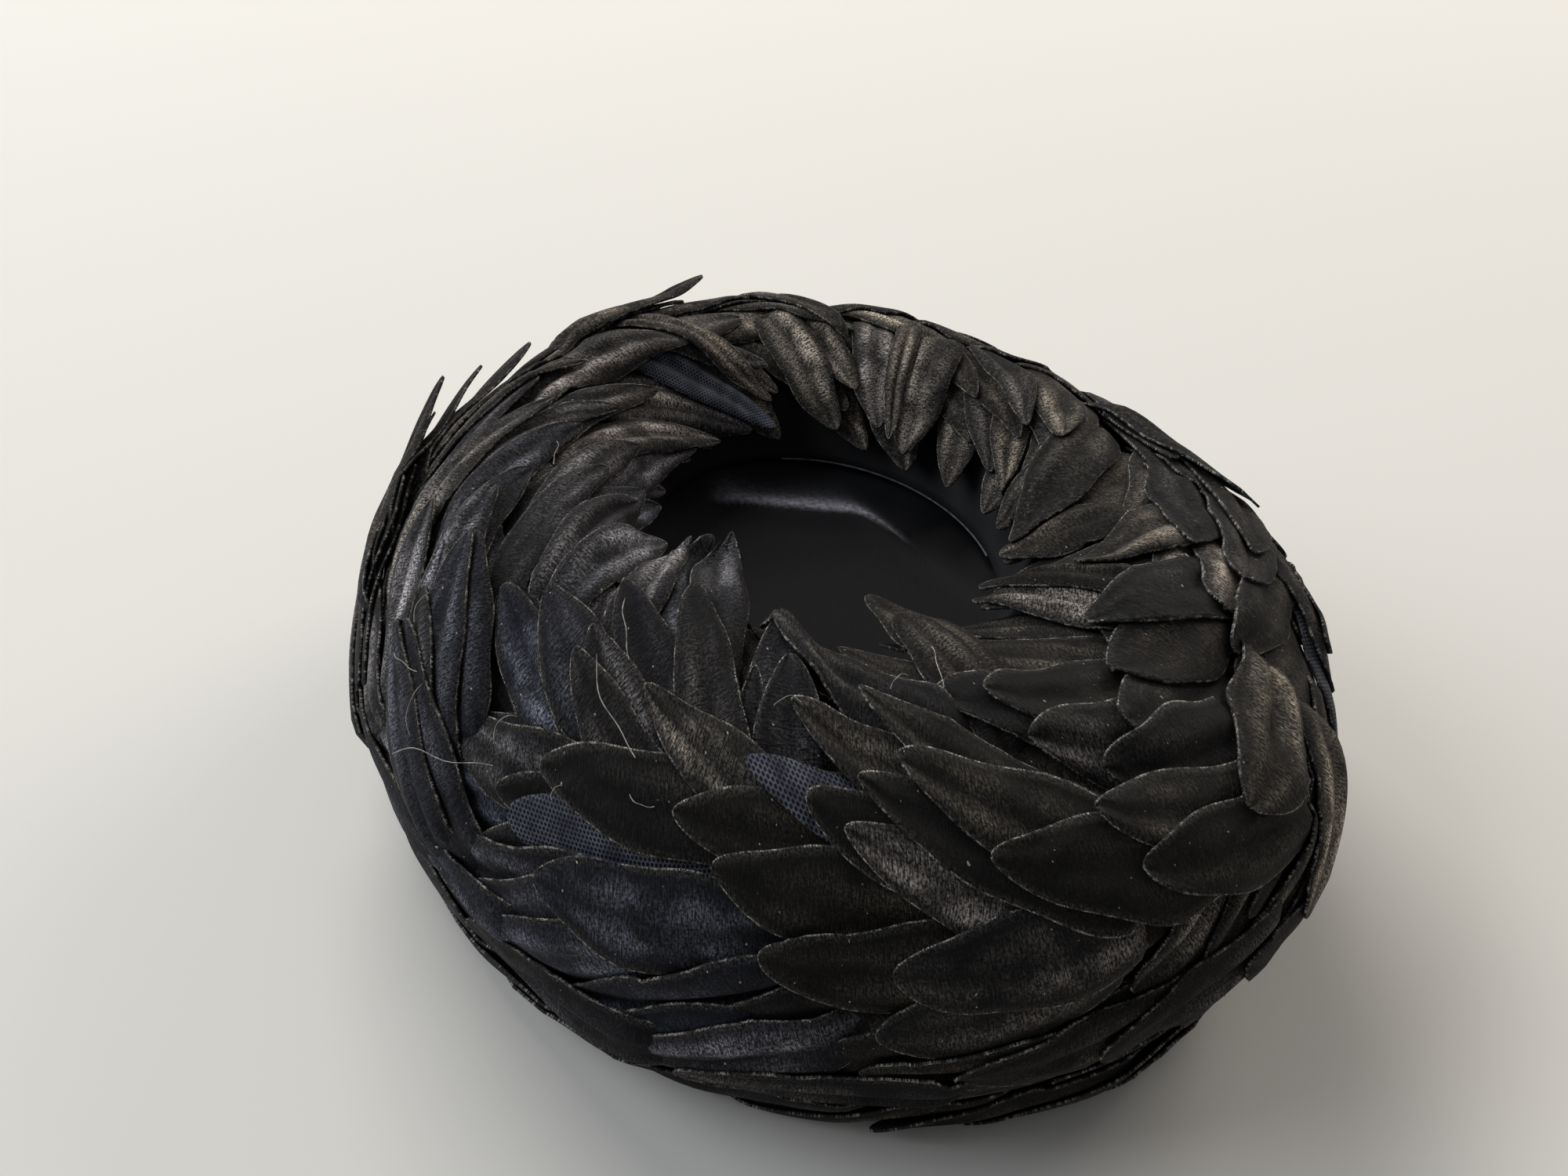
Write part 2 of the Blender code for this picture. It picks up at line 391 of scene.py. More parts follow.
def tip_velvet():
    """Deep black velvet, painted a little greyer towards the back, where the lip's shade falls, with a
    painted grey-violet highlight along the soft fold."""
    n = Nodes("tip velvet")
    place = n.place()
    painted_fold_highlight = n.value("painted_fold_highlight")
    pile = n.noise(place, 2600.0, 2.0, 0.6)
    speckle = n.noise(place, 900.0, 3.0, 0.65)
    # Painted highlight along the fold, speckled by the pile.
    painted_fold_shine = n.times(painted_fold_highlight, n.remap(speckle, 0.32, 0.62, 0.3, 1.0))
    # Painted light: greyer towards the back, where the lip's shade falls.
    back = n.remap(n.add("ShaderNodeSeparateXYZ", {0: place}).outputs[1], 0.024, 0.046)
    plain = n.mix(back, (0.0024, 0.0025, 0.0031, 1), (0.0110, 0.0114, 0.0128, 1))
    return n.finish(
        Base_Color=n.mix(painted_fold_shine, plain, (0.29, 0.28, 0.32, 1)),
        Roughness=0.6,
        Specular_IOR_Level=0.08,
        Sheen_Weight=0.03,
        Sheen_Roughness=0.3,
        Sheen_Tint=(0.6, 0.58, 0.7, 1),
        Normal=n.bump(pile, 0.25, 0.0003),
    )


def thread_finish(name, dark, light):
    """Loose fibre, dark and light along its length."""
    n = Nodes(name)
    place = n.place()
    return n.finish(
        Base_Color=n.mix(n.remap(n.noise(place, 500.0), 0.35, 0.65), dark, light),
        Roughness=0.7,
    )


VELVET = petal_velvet()
NET = net_backing()
EDGE = cut_edge()
CROWN_VELVET = crown_velvet()
TIP_VELVET = tip_velvet()
THREAD = thread_finish("pale thread", (0.10, 0.09, 0.075, 1), (0.42, 0.39, 0.34, 1))
# A pale cord standing for a painted highlight where light catches the inner lip.
LIP_HIGHLIGHT = thread_finish("lip painted highlight", (0.016, 0.016, 0.018, 1), (0.095, 0.092, 0.096, 1))
# A petal's top takes slot 0, or 1 when it lies net side up. Its underside and its rim lie so many on.
LEAF_SLOTS = (VELVET, NET, VELVET, EDGE, EDGE)
UNDERSIDE_STEP = 1
RIM_STEP = 3


# Petals.

# A row is sewn up_roll mm above the rim, and first shifts it round by a share of a petal's step.
Row = namedtuple("Row", "node count up_roll turn length width rise_in first")
ROWS = (
    Row("petals_rim", 25, 6.5, 2, 56, 15.0, 0.10, 0.0),
    Row("petals_lower_side", 25, 20.5, 5, 56, 15.0, 0.10, 0.45),
    Row("petals_side", 25, 34.0, 9, 55, 15.0, 0.10, 0.9),
    Row("petals_upper_side", 24, 47.5, 15, 54, 14.5, 0.10, 0.35),
    Row("petals_shoulder", 22, 60.0, 26, 51, 14.0, 0.08, 0.8),
    Row("petals_crest", 19, 71.5, 44, 46, 13.5, 0.06, 0.25),
    Row("petals_inner", 16, 83.0, 64, 40, 13.0, 0.04, 0.7),
)
# How far above the first layer the outer one is sewn, in mm, and the share of its count.
OUTER_STEP = 6.2
OUTER_SHARE = 0.92
# The first layer lies nearly flat.
FIRST_SHAPE = 0.3
# How much painted highlight an even petal's pile gets, and how far it keeps from those placed one by
# one, in mm.
EVEN_PAINTED_LIGHT = 0.6
CLEAR_OF_SEEN = 11.0
# Even petals turn less where they face the front.
FRONT_BEARING = 250.0
# How many random numbers from -1 to 1 move and shape one petal.
CHANCES = 18

# Bearing in degrees and up_roll in mm are of the sewn end. Turn, bend, pitch, curl and twist are in
# degrees, and length, width, arch, crease and ruffle in mm.
Leaf = namedtuple(
    "Leaf",
    "bearing up_roll turn length width bend rise_in pitch curl twist arch crease ruffle blunt net_up"
    " tone lit ridge lit_from layer",
)
# A placed petal is plain where no finish is given, and takes its finish's pitch where none is.
SeenPetal = namedtuple(
    "SeenPetal", "bearing up_roll turn length width finish pitch", defaults=("plain", None)
)
SEEN_PETALS = [SeenPetal(*row) for row in (
    (268, 53.6, 4, 54, 14.5),
    (248, 52.4, -8, 54, 14.5, "blue"),
    (236, 48.8, -26, 54, 13.5, "blue"),
    (249, 49.8, -27, 54, 14.5, "blue"),
    (272, 51.8, -6, 54, 13.0),
    (268, 46.5, -11, 54, 14.5),
    (282, 53.1, -17, 54, 14.5),
    (285, 53.5, -6, 54, 12.5, "lit"),
    (274, 45.5, -19, 54, 13.0),
    (282, 34.1, -6, 54, 13.0),
    (291, 36.3, -6, 54, 12.0),
    (306, 40.5, -11, 54, 13.0),
    (294, 66.8, -31, 54, 14.5, "dark"),
    (295, 65.2, -26, 40, 12.0),
    (299, 59.6, -31, 40, 13.0, "lit"),
    (315, 53.3, -31, 54, 13.0, "lit"),
    (308, 59.6, -31, 40, 12.0, "lit"),
    (315, 62.6, -31, 40, 9.0),
    (322, 57.8, -30, 40, 12.0),
    (329, 50.3, -20, 54, 12.0, "blue"),
    (253, 40.6, -25, 54, 14.0, "blue"),
    (234, 53.1, -25, 54, 13.0, "blue"),
    (231, 53.7, -22, 54, 13.0, "blue"),
    (245, 41.3, -31, 54, 14.0, "blue"),
    (287, 52.7, 31, 54, 14.0),
    (279, 56.6, 23, 54, 14.0),
    (291, 54.5, 19, 54, 13.5),
    (285, 52.7, 19, 54, 13.0, "dark"),
    (281, 45.8, 22, 54, 13.5, "lit"),
    (279, 54.8, 13, 54, 13.0, "dark"),
    (298, 54.2, 9, 54, 13.0, "dark"),
    (302, 77.9, 4, 40, 12.0, "dark"),
    (295, 77.0, 7, 40, 11.0, "dark"),
    (324, 74.3, 8, 40, 12.5, "dark"),
    (316, 69.2, 7, 40, 12.5, "dark"),
    (309, 64.6, 6, 40, 13.0, "dark"),
    (312, 53.1, 13, 54, 12.5),
    (302, 66.5, 12, 40, 13.0, "lit"),
    (300, 56.9, 2, 54, 12.0, "lit"),
    (314, 50.9, 8, 54, 12.0, "dark"),
    (324, 66.5, -11, 40, 12.5, "lit"),
    (332, 55.1, -22, 40, 12.0, "lit"),
    (343, 58.6, -27, 40, 12.0, "net"),
    (353, 64.1, -24, 40, 12.5, "lit"),
    (352, 58.7, 14, 54, 12.0, "dark"),
    (338, 83.4, -5, 40, 12.5, "dark"),
    (348, 69.3, 8, 40, 12.5, "lit"),
    (348, 71.8, 34, 40, 12.0, "lit"),
    (332, 72.0, 23, 40, 12.0, "dark"),
    (322, 68.5, -15, 42, 13.0, "over"),
    (341, 80.0, -4, 38, 12.5, "lit"),
    (323, 61.5, -38, 42, 12.5, "over"),
    (41, 73.7, -9, 40, 13.0),
    (60, 74.0, -4, 40, 10.0),
    (24, 74.2, -15, 50, 11.0, "stray"),
    (34, 82.0, 14, 40, 12.0, "lit"),
    (29, 64.5, 10, 40, 12.0),
    (15, 57.4, 13, 54, 12.5, "dark"),
    (9, 71.1, -19, 40, 12.0),
    (38, 74.5, 22, 40, 12.0),
    (47, 73.6, 29, 40, 9.0),
    (2, 73.0, 10, 40, 12.5, "dark"),
    (358, 64.5, 10, 42, 12.5),
    (0, 66.0, -20, 40, 12.0),
    (127, 73.8, 58, 48, 12.0, "net"),
    (132, 73.4, 32, 48, 11.0),
    (115, 64.3, 64, 48, 10.0),
    (150, 81.6, 42, 48, 12.0, "lit"),
    (170, 86.6, 34, 48, 12.0, "lit"),
    (87, 76.4, 65, 40, 12.0, "lit"),
    (85, 69.5, 58, 40, 11.0, "lit"),
    (93, 52.5, 54, 48, 9.0),
    (62, 72.2, 77, 40, 12.0, "lit"),
    (55, 74.4, 77, 40, 6.0),
    (48, 75.2, 77, 40, 13.0, "lit"),
    (322, 88.5, -20, 34, 12.0, "lit"),
    (33, 77.7, 47, 40, 9.0),
    (124, 71.3, 1, 54, 12.0, "lit"),
    (137, 86.1, -3, 54, 12.0, "lit"),
    (118, 86.7, -5, 54, 12.0, "lit"),
    (98, 70.9, 23, 40, 11.0),
    (118, 70.6, 3, 54, 12.0, "lit"),
    (84, 72.8, 1, 40, 12.0),
    (74, 74.3, -3, 40, 12.0),
    (74, 71.4, 22, 40, 11.0, "lit"),
    (64, 73.8, 29, 40, 10.0),
    (50, 79.3, 25, 40, 9.0),
    (80, 90.5, 7, 40, 12.0, "dark"),
    (130, 70.3, 2, 50, 10.0, "stray"),
    (171, 43.4, 23, 50, 8.0, "stray"),
    (175, 40.5, 23, 50, 7.0, "stray"),
    (167, 48.5, 18, 50, 9.0, "stray"),
    (158, 54.0, 14, 48, 12.0, "stray", 5),
    (147, 86.8, -18, 54, 11.0),
    (175, 47.6, 34, 54, 12.0, "lit"),
    (178, 43.6, 48, 54, 12.0, "lit"),
    (171, 57.3, 53, 48, 12.0, "lit"),
    (172, 78.1, 22, 48, 12.0),
    (183, 54.8, 50, 48, 12.0),
    (187, 80.5, 35, 38, 12.0),
    (182, 90.8, 25, 38, 11.0),
    (191, 96.3, 18, 48, 12.0, "lit"),
    (194, 67.3, 50, 38, 11.0),
    (199, 78.7, 48, 38, 12.0, "lit"),
    (203, 70.3, 73, 38, 12.0, "lit"),
    (199, 71.5, 59, 38, 11.0),
    (190, 52.9, 48, 40, 13.0),
    (195, 46.5, 46, 42, 13.0, "lit"),
    (181, 26.0, 36, 54, 13.0),
    (183, 18.1, 34, 54, 10.0, "lit"),
    (189, 35.5, 44, 44, 13.5, "lit"),
    (161, 42.0, 49, 54, 12.0, "lit"),
    (137, 65.4, 7, 54, 12.0, "lit"),
    (151, 76.6, 17, 48, 12.0, "lit"),
    (202, 42.4, 44, 42, 13.0),
    (200, 38.6, 42, 42, 13.0, "lit"),
    (229, 64.5, 16, 42, 13.5, "blue"),
    (219, 51.4, 61, 38, 12.0, "upright", 4),
    (171, 12.6, 30, 54, 13.5),
    (178, 38.5, 19, 54, 11.0, "lit"),
    (161, 40.9, 42, 54, 12.0, "lit"),
    (181, 20.6, 42, 54, 13.0),
    (199, 50.1, -2, 54, 12.5, "lit"),
    (191, 35.7, 10, 54, 12.0, "lit"),
    (206, 48.5, -22, 54, 12.0),
    (203, 47.2, -14, 54, 11.0, "net"),
    (219, 36.0, -11, 54, 11.0, "blue"),
    (204, 33.4, 40, 44, 12.5),
    (207, 31.9, 30, 46, 12.5, "blue"),
    (203, 50.5, 38, 36, 12.5, "curled"),
    (227, 60.2, 23, 38, 12.0, "lit"),
    (234, 57.8, 28, 38, 12.0, "lit"),
    (233, 63.0, 37, 38, 12.0, "dark"),
    (215, 75.6, 69, 38, 10.0, "lit"),
    (221, 62.5, 13, 42, 13.0, "blue"),
    (252, 57.0, 22, 46, 12.0, "lit"),
    (236, 63.3, 55, 38, 11.0),
    (226, 69.6, -23, 54, 11.0),
    (227, 61.2, -20, 54, 12.0, "blue"),
    (243, 63.3, -15, 54, 13.5, "net"),
    (237, 62.1, -23, 54, 12.0),
    (247, 56.4, -17, 54, 12.0, "net"),
    (211, 36.6, 24, 48, 13.0),
    (232, 64.8, -14, 54, 12.0),
    (247, 65.3, -6, 54, 12.0, "dark"),
    (264, 65.9, -5, 54, 12.0, "dark"),
    (262, 68.2, -6, 54, 12.0, "dark"),
    (273, 59.2, 12, 54, 10.0, "net"),
    (234, 56.0, 25, 38, 11.0),
    (241, 63.3, -12, 54, 12.0, "dark"),
    (227, 73.9, 60, 40, 12.0, "upright", 13),
    (230, 74.8, 65, 40, 12.0, "upright", 16),
    (237, 48.5, 81, 34, 9.0, "upright", 6),
    (240, 58.2, 81, 34, 12.0, "upright", 6),
    (242, 52.2, 81, 34, 12.5, "upright", 6),
    (274, 78.5, 81, 40, 13.0, "upright", 6),
    (270, 70.2, 81, 34, 12.0, "upright", 6),
    (307, 86.4, 77, 40, 12.5, "lit"),
    (316, 75.9, 77, 40, 12.0, "dark"),
)]
# How each finish lies and how much painted highlight its pile gets.
Finish = namedtuple("Finish", "lit pitch arch net_up", defaults=(False,))
FINISHES = {
    "plain": Finish(0.65, 0.5, 0.9),
    "lit": Finish(1.90, 0.5, 1.1),
    "blue": Finish(1.00, 0.5, 0.9),
    "dark": Finish(0.20, 0.5, 0.7),
    "net": Finish(0.40, 1.0, 1.6, True),
    "stray": Finish(0.30, 10.0, 0.8),
    "curled": Finish(0.50, 5.0, 2.6),
    "upright": Finish(0.80, 3.0, 1.2),
    "over": Finish(2.60, 1.5, 1.5),
}


# Where the pile is bluest and where the light painted on it is brightest, as bearings, and the tone
# of a blue petal.
BLUE_BEARING = 208.0
PAINTED_LIGHT_BEARING = 102.0
BLUE_TONE = 0.85


def tone_at(bearing):
    """Brown round most of the hat, turning blue towards the front left: partly the pile's own tone,
    partly painted cool light from the window on the left.
    """
    off = math.radians(bearing - BLUE_BEARING)
    return 0.06 + 0.56 * max(0.0, math.cos(off)) ** 3


def painted_light_at(bearing, front=0.05, back=1.25):
    """Painted light: more of the pile is painted lit towards the back, where the light falls along it.
    """
    away = 0.5 - 0.5 * math.cos(math.radians(bearing - PAINTED_LIGHT_BEARING))
    return back + (front - back) * away**0.68


def near(bearing, middle, reach):
    """One at a bearing, falling smoothly to nothing beyond its reach."""
    off = (bearing - middle + 180.0) % 360.0 - 180.0
    return math.exp(-((off / reach) ** 2))


def painted_highlight_at(bearing):
    """How much painted highlight the pile gets: as the painted light by bearing, and more at the back
    left.
    """
    return painted_light_at(bearing, 0.45, 1.2) * (1 + 0.6 * near(bearing, 155.0, 38.0))


def mottle_and_painted_light_at(bearing):
    """How strongly the faint mottle shows, as painted light: as the painted light by bearing, and more
    at the right.
    """
    return painted_light_at(bearing) + 0.25 * near(bearing, 5.0, 42.0)


# How far up the roll a petal may reach into the opening, in mm, by the bearing of its middle.
REACH_BEARINGS = (0, 30, 60, 90, 120, 150, 180, 205, 225, 250, 265, 280, 310, 340, 360)
REACH = (112, 115, 117, 116, 114, 114, 114, 104, 93, 93, 103, 109, 111, 111, 112)
SHORTEST = 26.0


def within_reach(leaf):
    """The petal drawn back and shortened, half each, if its tip would hang too far into the
    opening."""
    slope = math.sin(math.radians(leaf.turn + 0.15 * leaf.bend))
    bearing = math.degrees(middle(leaf)[0]) % 360.0
    over = leaf.up_roll + leaf.length * slope - np.interp(bearing, REACH_BEARINGS, REACH)
    if over <= 0 or leaf.layer == 0:
        return leaf
    length = max(leaf.length - 0.5 * over / slope, SHORTEST)
    up_roll = leaf.up_roll - (over - (leaf.length - length) * slope)
    return leaf._replace(up_roll=up_roll, length=length)


def chance_leaf(
    chance, bearing, up_roll, turn, length, width, rise_in, lit,
    pitch=0.5, arch=0.8, net_up=False, tone=None, shape=1.0, layer=1,
):
    """A petal with its lie and creases moved a little by chance. Shape is a share of its relief."""
    tone = tone_at(bearing) if tone is None else tone
    return Leaf(
        bearing, up_roll, turn, length, width,
        bend=6.0 + 5.0 * chance[5],
        rise_in=rise_in * (1 + 0.2 * chance[6]),
        pitch=(pitch + 1.0 * chance[7]) * shape,
        curl=(4.0 + 7.0 * chance[8]) * shape,
        twist=13.0 * chance[9] * shape,
        arch=(arch + 0.4 + 0.8 * chance[10]) * shape,
        crease=(0.75 + 0.45 * chance[11]) * shape,
        ruffle=0.75 * chance[12] * shape,
        blunt=0.5 + 0.5 * chance[13],
        net_up=net_up,
        tone=min(max(tone + 0.2 * chance[14], 0.0), 1.0),
        lit=min(max(lit * painted_highlight_at(bearing) * (1 + 0.5 * chance[15]), 0.0), 1.5),
        ridge=chance[16],
        lit_from=0.55 + 0.3 * chance[17],
        layer=layer,
    )


def row_leaves(row, step, share, shape=1.0):
    """A row's petals, evenly spaced and then each moved and shaped a little by chance."""
    leaves = []
    count = round(row.count * share)
    for number in range(count):
        chance = RNG.uniform(-1, 1, CHANCES)
        place = number + row.first + 0.5 * step / OUTER_STEP + 0.16 * chance[0]
        bearing = (360.0 * place / count) % 360.0
        front = max(0.0, math.cos(math.radians(bearing - FRONT_BEARING)))
        leaf = chance_leaf(
            chance, bearing, row.up_roll + step + 1.6 * chance[1],
            row.turn - 12.0 * front + 7.0 * chance[2], row.length * (1 + 0.07 * chance[3]),
            row.width * (1 + 0.10 * chance[4]), row.rise_in, EVEN_PAINTED_LIGHT, shape=shape,
        )
        leaves.append(within_reach(leaf))
    return leaves


# Upright petals are laid first, stray and hanging ones last, and all others, in layer 1, between.
LAYERS = {"upright": 0, "stray": 2, "over": 2}
# How much a placed petal rises inwards, and how much more than an even one it may bend.
SEEN_RISE_IN = 0.06
SEEN_BEND = 2.2


def seen_leaves():
    """The petals placed one by one, each in its finish, and bent and creased a little by chance."""
    leaves = []
    for seen in SEEN_PETALS:
        chance = RNG.uniform(-1, 1, CHANCES)
        chance[5] = SEEN_BEND * chance[5]
        finish = FINISHES[seen.finish]
        leaf = chance_leaf(
            chance, seen.bearing, seen.up_roll, seen.turn, seen.length, seen.width, SEEN_RISE_IN,
            finish.lit, seen.pitch or finish.pitch, finish.arch, finish.net_up,
            BLUE_TONE if seen.finish == "blue" else None, layer=LAYERS.get(seen.finish, 1),
        )
        leaves.append(within_reach(leaf))
    return leaves


def middle(leaf):
    """The bearing in radians of a petal's middle, its distance up the roll and its radius in mm."""
    turn = math.radians(leaf.turn)
    up_roll = leaf.up_roll + 0.5 * leaf.length * math.sin(turn)
    radius = float(on_guide(up_roll * MM)[0]) / MM
    forward = 0.5 * leaf.length * math.cos(turn)
    bearing = math.radians(leaf.bearing) - forward / max(radius, LEAST_MIDDLE_RADIUS)
    return bearing, up_roll, radius


def is_clear(leaf, others):
    """Whether a petal's middle is far enough from all the others' middles. The way round the hat
    counts for 0.6 of its length, since petals lie mostly along it."""
    bearing, up_roll, radius = middle(leaf)
    for other in others:
        other_bearing, other_up_roll, _ = middle(other)
        apart = (bearing - other_bearing + math.pi) % TURN - math.pi
        if math.hypot(0.6 * apart * radius, up_roll - other_up_roll) < CLEAR_OF_SEEN:
            return False
    return True


def leaf_outline(along, blunt):
    """Half width as a share of the widest: a sine of the way along, its peak moved tipwards and its
    ends made fuller by blunt, on a narrow base."""
    way = 0.02 + 0.98 * along ** (0.95 + 0.25 * blunt)
    return np.sin(math.pi * way) ** (0.64 - 0.12 * blunt) + 0.015


def leaf_stations():
    """Shares of the way along a petal, closer together towards the tip: one less what is left, to
    the power 1.5."""
    x = np.linspace(0, 1, ALONG)
    return 1 - (1 - x) ** 1.5


# The slow wave of a petal's cut edge, as a share of the half width.
EDGE_WAVE = 0.07


def leaf_aside(leaf):
    """How far every point lies aside from the petal's middle line, in mm: the half width times the
    share across, with each cut edge in its own slow wave."""
    across = np.linspace(-1, 1, ACROSS)
    along = leaf_stations()[:, None]
    half = leaf_outline(along, leaf.blunt) * leaf.width / 2
    wave = np.sin(TURN * (2.3 * along + leaf.ridge + 0.3 * np.sign(across)))
    return half * across * (1 + EDGE_WAVE * wave * np.abs(across))


def lay_leaf(leaf):
    """A petal as bearing, distance up the roll and height, on a grid along and across.

    Its middle line turns by bend on its way and climbs by pitch, growing by curl towards the tip. It
    rises inwards by rise_in. Its section is an arch with a middle crease and one at each side, and
    its edges ruffle in a slow wave."""
    along = leaf_stations()
    length, half = leaf.length * MM, leaf.width * MM / 2
    heading = np.radians(leaf.turn + leaf.bend * (along - 0.35))
    climb = np.radians(leaf.pitch + leaf.curl * along**2)
    steps = np.diff(along, prepend=0) * length
    forward = np.cumsum(steps * np.cos(heading) * np.cos(climb))
    inward = np.cumsum(steps * np.sin(heading) * np.cos(climb))
    lifted = np.cumsum(steps * np.sin(climb))
    aside = leaf_aside(leaf) * MM
    forward = forward[:, None] - aside * np.sin(heading)[:, None]
    inward = inward[:, None] + aside * np.cos(heading)[:, None]
    laid = np.clip(along / 0.22, 0, 1)
    laid = (laid * laid * (3 - 2 * laid))[:, None]
    plane = LAID_HEIGHT + leaf.rise_in * (inward + half)
    share = aside / half
    arch = leaf.arch * MM * (1 - share**2)
    middle_crease = np.exp(-((aside / (1.1 * MM)) ** 2))
    side_creases = np.exp(-(((np.abs(aside) - 0.42 * half) / (1.4 * MM)) ** 2))
    strength = np.sin(math.pi * along**0.8)[:, None]
    creases = leaf.crease * MM * (middle_crease - 0.6 * side_creases) * strength
    twisted = math.radians(leaf.twist) * aside * (along[:, None] - 0.3)
    wave = np.sin(TURN * (1.4 * along[:, None] + 0.3 * leaf.tone)) * share * np.abs(share)
    height = plane + arch + twisted - creases + leaf.ruffle * MM * wave
    height = laid * height + (1 - laid) * SEWN_HEIGHT + lifted[:, None]
    distance = leaf.up_roll * MM + inward
    return bearing_after(leaf.bearing, forward, distance), distance, height


def map_cells(bearing, distance):
    """The height map's column and row at each place."""
    column = np.floor(np.mod(bearing, TURN) / TURN * MAP_BEARINGS).astype(int) % MAP_BEARINGS
    row = np.floor((distance - MAP_START) / MAP_STEP).astype(int)
    return column, np.clip(row, 0, MAP_ROWS - 1)


def neighbours(values):
    """Each value and those around it, with the border repeated, as a list of arrays."""
    edge = np.pad(values, 1, mode="edge")
    rows, columns = values.shape
    return [edge[i:i + rows, j:j + columns] for i in range(3) for j in range(3)]


def soften(values, passes):
    """Each value made the mean of itself and its eight neighbours, as many times as passes says."""
    for _ in range(passes):
        values = sum(neighbours(values)) / 9
    return values


def drape_leaf(laid, height_map, marked=True):
    """Lifts a petal smoothly clear of the map below it, and raises the map to its top. Its sewn end
    stays down, between those around it. A petal that isn't marked leaves the map as it is."""
    bearing, distance, height = laid
    column, row = map_cells(bearing, distance)
    free = np.clip((leaf_stations() - 0.04) / 0.20, 0, 1)[:, None]
    short = np.maximum(height_map[column, row] + CLEARANCE + CLOTH / 2 - height, 0) * free
    raised = soften(np.maximum.reduce(neighbours(short)), 4) * free
    height = height + np.maximum(raised, short)
    top = height + CLOTH / 2 if marked else np.zeros_like(height)
    for right in (-1, 0, 1):
        for up in (-1, 0, 1):
            cells = (column + right) % MAP_BEARINGS, np.clip(row + up, 0, MAP_ROWS - 1)
            np.maximum.at(height_map, cells, top)
    return bearing, distance, height


# How high petals are pressed where many lie over each other, and how widely that is evened out.
PRESSED_HEIGHT = 8.5 * MM
PRESSED_PASSES = 60


def pressed_share(height_map):
    """By how much heights are to be multiplied at every place of the map, so that the petals lie
    pressed to PRESSED_HEIGHT where many are sewn over each other, in the order they were laid."""
    pile = height_map
    for _ in range(PRESSED_PASSES):
        level = np.pad(pile, ((0, 0), (1, 1)), mode="edge")
        level = (level[:, :-2] + level[:, 1:-1] + level[:, 2:]) / 3
        pile = (np.roll(level, 1, axis=0) + level + np.roll(level, -1, axis=0)) / 3
    return np.minimum(PRESSED_HEIGHT / pile, 1.0)


def read_map(values, bearing, distance):
    """The map's values between its cells, in proportion both ways."""
    across = np.mod(bearing, TURN) / TURN * MAP_BEARINGS - 0.5
    up = np.clip((distance - MAP_START) / MAP_STEP - 0.5, 0, MAP_ROWS - 1.001)
    column, row = np.floor(across).astype(int), np.floor(up).astype(int)
    share, rise = across - column, up - row
    column, beyond = column % MAP_BEARINGS, (column + 1) % MAP_BEARINGS
    here = values[column, row] * (1 - rise) + values[column, row + 1] * rise
    there = values[beyond, row] * (1 - rise) + values[beyond, row + 1] * rise
    return here * (1 - share) + there * share


# Where the hat is fuller, at its front right, by how much, and how far that reaches up and down.
FULL_BEARING = math.radians(338)
FULL_HEIGHT = 4.5 * MM
FULL_UP_ROLL = 42 * MM
FULL_REACH = 26 * MM


def fullness(bearing, distance):
    """How much further out the petals stand: a squared cosine round the hat and a bell up the roll."""
    facing = np.clip(np.cos(bearing - FULL_BEARING), 0, 1) ** 2
    return FULL_HEIGHT * facing * np.exp(-(((distance - FULL_UP_ROLL) / FULL_REACH) ** 2))


# Where the order round the hat starts, at its back, in degrees, and how far up the roll one ring of
# petals goes, in mm.
SEAM_BEARING = 62.0
RING_STEP = 11.0


def ring_order(leaf):
    """Rings from the opening outwards, and round each from the seam, so that each petal lies on the
    one in front of it and on the rings inside it."""
    return leaf.layer, -math.floor(leaf.up_roll / RING_STEP), (leaf.bearing - SEAM_BEARING) % 360.0


def node_for(leaf):
    """The row whose sewn line is nearest to the petal's."""
    return min(ROWS, key=lambda row: abs(row.up_roll + 0.3 * OUTER_STEP - leaf.up_roll)).node


# The painted highlight bands of a petal: how far aside and how wide, as shares of the half width,
# how long, as a share of the length, and how strong in all.
BAND_ASIDE = 0.42
BAND_WIDTH = 0.25
BAND_LENGTH = 0.27
BAND_PAINTED_HIGHLIGHT = 1.15


def painted_highlight_bands(leaf, along, across):
    """Painted highlight: a band on each side of the middle crease, one of them stronger, and most at
    one place on the way to the tip."""
    right = np.exp(-(((across - BAND_ASIDE) / BAND_WIDTH) ** 2)) * (0.6 + 0.4 * leaf.ridge)
    left = np.exp(-(((across + BAND_ASIDE) / BAND_WIDTH) ** 2)) * (0.6 - 0.4 * leaf.ridge)
    here = 0.18 + 0.82 * np.exp(-(((along - leaf.lit_from) / BAND_LENGTH) ** 2))
    bands = (right + left + 0.12 * (1 - across**2))[None, :]
    return BAND_PAINTED_HIGHLIGHT * leaf.lit * here[:, None] * bands


def leaf_values(leaf, number):
    """Places on the cloth in centimetres, each petal on its own part of it; the distance from the
    cut edge in mm; the share across; and the petal's tone, painted highlight, and mottle scaled by
    painted light, for every point."""
    along = leaf_stations()
    across = np.linspace(-1, 1, ACROSS)
    shift = np.array([3.7 * (number % 7), 9.1 * (number // 7) + 0.37 * leaf.bearing])
    half = leaf_outline(along, leaf.blunt) * leaf.width / 2
    u = leaf_aside(leaf) / 10 + shift[0]
    v = np.repeat(along[:, None], ACROSS, 1) * leaf.length / 10 + shift[1]
    edge = half[:, None] * (1 - np.abs(across))[None, :]
    edge = np.minimum(edge, ((1 - along) * leaf.length)[:, None])
    even = np.ones((ALONG, ACROSS))
    painted_highlight, mottle_and_painted_light = painted_highlight_bands(leaf, along, across), even * mottle_and_painted_light_at(leaf.bearing)
    return np.stack([u, v], axis=-1), edge, even * across, even * leaf.tone, painted_highlight, mottle_and_painted_light


